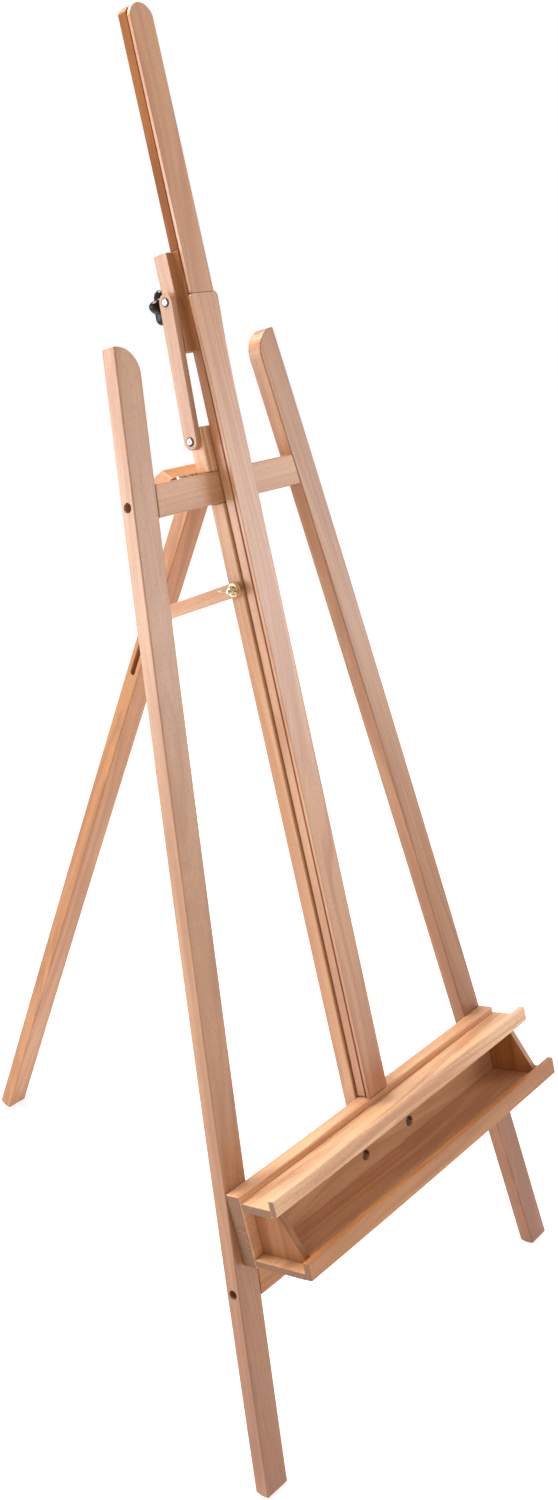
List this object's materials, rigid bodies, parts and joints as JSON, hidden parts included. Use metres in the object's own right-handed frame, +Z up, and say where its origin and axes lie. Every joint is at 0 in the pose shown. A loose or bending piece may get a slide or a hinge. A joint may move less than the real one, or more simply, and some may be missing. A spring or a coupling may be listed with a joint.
{
  "type": "artist easel",
  "caption": "Wooden A-frame studio easel with a folding rear leg, a sliding tray with a brush compartment, and a tilting mast with a sliding extension.",
  "frame": {"origin": "on the floor, under the middle of the bounding box", "axes": "+Z up; the easel faces -Y, with +X to the right of the easel seen from the front (-Y side)"},
  "size_m": [0.7338, 0.9418, 1.8635],
  "materials": {
    "beech": "clear-oiled beech, satin",
    "beech_light": "clear-oiled beech, lighter boards, satin",
    "zinc_steel": "bright zinc plated",
    "brass": "polished, lightly worn",
    "black_plastic": "glossy black moulding"
  },
  "bodies": {
    "a_frame": {"centre_rail": "beech", "front_leg_left": "beech", "front_leg_right": "beech", "head_post": "beech", "head_post_barrel_nut": "zinc_steel", "head_post_bolt": "zinc_steel", "hinge_frame_leaf_left": "zinc_steel", "hinge_frame_leaf_right": "zinc_steel", "hinge_pin_left": "zinc_steel", "hinge_pin_right": "zinc_steel", "link_screw_lower_left": "zinc_steel", "link_screw_lower_right": "zinc_steel", "lower_barrel_nut_left": "zinc_steel", "lower_barrel_nut_right": "zinc_steel", "lower_bolt_left": "zinc_steel", "lower_bolt_right": "zinc_steel", "lower_crossbar": "beech", "rail_foot_barrel_nut": "zinc_steel", "rail_foot_bolt": "zinc_steel", "stay_bolt": "zinc_steel", "upper_barrel_nut_left": "zinc_steel", "upper_barrel_nut_right": "zinc_steel", "upper_bolt_left": "zinc_steel", "upper_bolt_right": "zinc_steel", "upper_crossbar": "beech"},
    "tray": {"tray_back_board": "beech_light", "tray_top_shelf": "beech_light", "tray_top_lip": "beech_light", "tray_bottom_shelf": "beech_light", "tray_bottom_lip": "beech_light", "tray_end_left": "beech_light", "tray_end_right": "beech_light", "tray_guide_left": "beech", "tray_guide_right": "beech", "tray_clamp_plate": "beech", "tray_bolt_left": "zinc_steel", "tray_bolt_right": "zinc_steel", "mast_foot_eye": "zinc_steel"},
    "tray_nut_left": {"tray_wing_nut_left": "brass"},
    "tray_nut_right": {"tray_wing_nut_right": "brass"},
    "mast": {"mast": "beech_light", "mast_foot_pin": "zinc_steel"},
    "mast_extension": {"mast_extension": "beech_light", "mast_tongue": "beech_light"},
    "link_left": {"link_left": "beech_light"},
    "link_right": {"link_right": "beech_light"},
    "clamp_block": {"clamp_block": "beech_light", "clamp_bolt": "zinc_steel", "link_screw_upper_left": "zinc_steel", "link_screw_upper_right": "zinc_steel"},
    "clamp_knob": {"clamp_knob": "black_plastic"},
    "rear_leg": {"rear_leg": "beech", "rear_leg_head": "beech", "hinge_leg_leaf_left": "zinc_steel", "hinge_leg_leaf_right": "zinc_steel"},
    "stay": {"stay_bar": "beech", "slot_bolt": "zinc_steel", "slot_nut": "zinc_steel"},
    "stay_nut": {"stay_wing_nut": "brass"}
  },
  "joints": [
    {"name": "tray_height", "type": "slide", "parent": "a_frame", "child": "tray", "axis": [0, 0.3338, 0.9426], "range_m": [0, 0.45]},
    {"name": "tray_nut_left_turn", "type": "hinge", "parent": "tray", "child": "tray_nut_left", "pos_m": [-0.053, -0.31647, 0.35275], "axis": [0, 0.9426, -0.3338], "range_deg": [0, 180]},
    {"name": "tray_nut_right_turn", "type": "hinge", "parent": "tray", "child": "tray_nut_right", "pos_m": [0.053, -0.31647, 0.35275], "axis": [0, 0.9426, -0.3338], "range_deg": [0, 180]},
    {"name": "mast_tilt", "type": "hinge", "parent": "tray", "child": "mast", "pos_m": [0, -0.323, 0.45054], "axis": [-1, 0, 0], "range_deg": [-4.1, 0]},
    {"name": "mast_extension_slide", "type": "slide", "parent": "mast", "child": "mast_extension", "axis": [0, 0.3338, 0.9426], "range_m": [0, 0.36]},
    {"name": "link_left_swing", "type": "hinge", "parent": "a_frame", "child": "link_left", "pos_m": [0, 0.00525, 1.31399], "axis": [-1, 0, 0], "range_deg": [-26.27, 0.5]},
    {"name": "link_right_swing", "type": "hinge", "parent": "a_frame", "child": "link_right", "pos_m": [0, 0.00525, 1.31399], "axis": [-1, 0, 0], "range_deg": [-26.27, 0.5]},
    {"name": "clamp_block_level", "type": "hinge", "parent": "link_left", "child": "clamp_block", "pos_m": [0, 0.05542, 1.48771], "axis": [-1, 0, 0], "range_deg": [-0.5, 22.17]},
    {"name": "clamp_knob_turn", "type": "hinge", "parent": "clamp_block", "child": "clamp_knob", "pos_m": [0, 0.08028, 1.47944], "axis": [0, 0.9426, -0.3338], "range_deg": [0, 360]},
    {"name": "rear_leg_fold", "type": "hinge", "parent": "a_frame", "child": "rear_leg", "pos_m": [0, 0.00409, 1.26879], "axis": [-1, 0, 0], "range_deg": [0, 38.66]},
    {"name": "stay_swing", "type": "hinge", "parent": "a_frame", "child": "stay", "pos_m": [0, -0.06533, 1.12576], "axis": [-1, 0, 0], "range_deg": [-0.5, 72.5]},
    {"name": "stay_nut_turn", "type": "hinge", "parent": "a_frame", "child": "stay_nut", "pos_m": [-0.0308, -0.06533, 1.12576], "axis": [1, 0, 0], "range_deg": [0, 180]}
  ],
  "couplings": [
    {"joint": "link_left_swing", "follows": "mast_tilt", "ratio": 6.285},
    {"joint": "link_right_swing", "follows": "mast_tilt", "ratio": 6.285},
    {"joint": "clamp_block_level", "follows": "mast_tilt", "ratio": -5.285},
    {"joint": "stay_swing", "follows": "rear_leg_fold", "ratio": 1.86}
  ]
}
